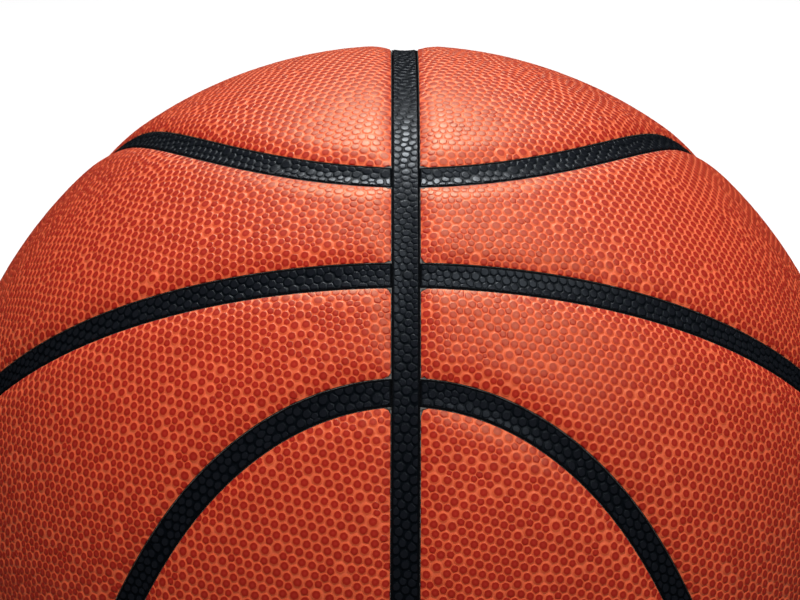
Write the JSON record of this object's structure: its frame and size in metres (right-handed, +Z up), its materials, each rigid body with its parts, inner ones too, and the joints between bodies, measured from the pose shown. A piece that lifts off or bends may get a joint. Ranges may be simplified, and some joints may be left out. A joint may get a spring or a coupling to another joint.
{
  "type": "basketball",
  "caption": "Inflatable basketball: sponge-backed pebbled cover panels and inlaid channel strips round a wound carcass, a bladder and a needle valve.",
  "frame": {"origin": "centre of the ball", "axes": "+Z up through the crossing of the long and cross channels, long channel in the plane X = 0, cross channel in the plane Y = 0, -Y towards the picture's viewer"},
  "size_m": [0.2392, 0.2392, 0.2386],
  "materials": {
    "cover": "pebbled, semi-matt with a soft sheen",
    "channel": "pebbled black, satin",
    "sponge": "matt foam on a woven backing",
    "carcass_rubber": "matt moulded",
    "winding_thread": "wound filament",
    "bladder_rubber": "matt moulded",
    "valve_rubber": "satin moulded"
  },
  "bodies": {
    "root": {"bladder": "bladder_rubber", "valve_boot": "bladder_rubber", "valve_plug": "valve_rubber", "thread_winding": "winding_thread", "rubber_carcass": "carcass_rubber", "front_left_band_sponge": "sponge", "front_right_band_sponge": "sponge", "back_left_band_sponge": "sponge", "back_right_band_sponge": "sponge", "front_left_oval_sponge": "sponge", "front_right_oval_sponge": "sponge", "back_left_oval_sponge": "sponge", "back_right_oval_sponge": "sponge", "front_left_band_panel": "cover", "front_right_band_panel": "cover", "back_left_band_panel": "cover", "back_right_band_panel": "cover", "front_left_oval_panel": "cover", "front_right_oval_panel": "cover", "back_left_oval_panel": "cover", "back_right_oval_panel": "cover", "long_channel_strip": "channel", "left_cross_channel_strip": "channel", "right_cross_channel_strip": "channel", "front_left_oval_channel_strip": "channel", "front_right_oval_channel_strip": "channel", "back_left_oval_channel_strip": "channel", "back_right_oval_channel_strip": "channel"}
  },
  "joints": []
}
